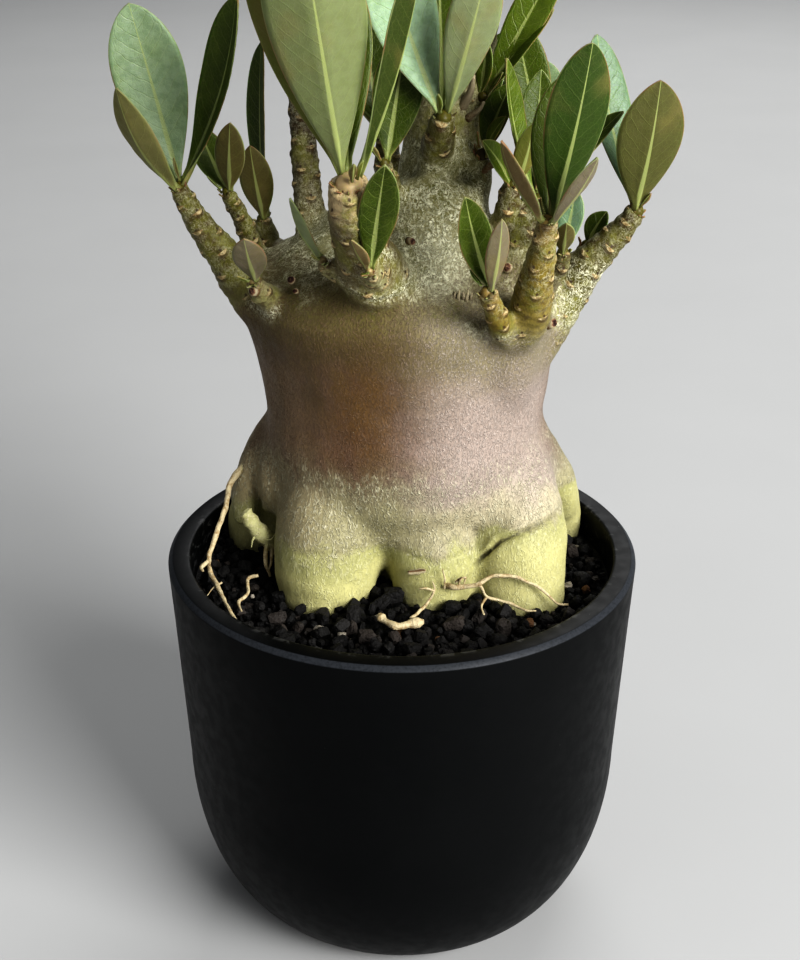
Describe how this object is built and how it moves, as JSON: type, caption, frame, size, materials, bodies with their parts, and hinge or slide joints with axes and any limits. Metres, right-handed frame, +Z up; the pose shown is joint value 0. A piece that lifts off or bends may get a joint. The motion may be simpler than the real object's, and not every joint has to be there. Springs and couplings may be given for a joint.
{
  "type": "potted desert rose adenium",
  "caption": "Desert rose succulent with a swollen, toed caudex, short scarred branches and tufts of paddle leaves, standing in grit in a round-bottomed matt black pot.",
  "frame": {"origin": "middle of the pot's flat foot, on the surface it stands on", "axes": "+Z up along the pot's axis; the plant's front, with three root toes, looks along -Y; +X to the right seen from the front"},
  "size_m": [0.1289, 0.1225, 0.2861],
  "materials": {
    "pot": "matt near-black, faint dust specks",
    "soil": "loose black volcanic grit with a few brown and pale grains",
    "bark": "olive to mauve-brown succulent bark with silvery wrinkles, yellow-green root toes",
    "leaf": "leathery green blade, pale midrib, satin upper side and matt underside"
  },
  "bodies": {
    "root": {"pot": "pot", "soil": "soil", "caudex": "bark", "leaves_left_arm": "leaf", "leaves_back_left_slim": "leaf", "leaves_back_left_stub": "leaf", "leaves_tall_left": "leaf", "leaves_front_left": "leaf", "leaves_left_twig": "leaf", "leaves_front_bud": "leaf", "leaves_left_front_bud": "leaf", "leaves_left_shoulder_bud": "leaf", "leaves_trunk": "leaf", "leaves_trunk_front": "leaf", "leaves_trunk_right": "leaf", "leaves_right_knob": "leaf", "leaves_right_twig": "leaf", "leaves_right_mid": "leaf", "leaves_front_right": "leaf", "leaves_right_arm": "leaf", "leaves_right_bud": "leaf", "leaves_right_side_bud": "leaf", "leaves_front_right_bud": "leaf", "leaves_back_middle": "leaf", "leaves_back_right": "leaf", "leaves_back_inner": "leaf"}
  },
  "joints": []
}
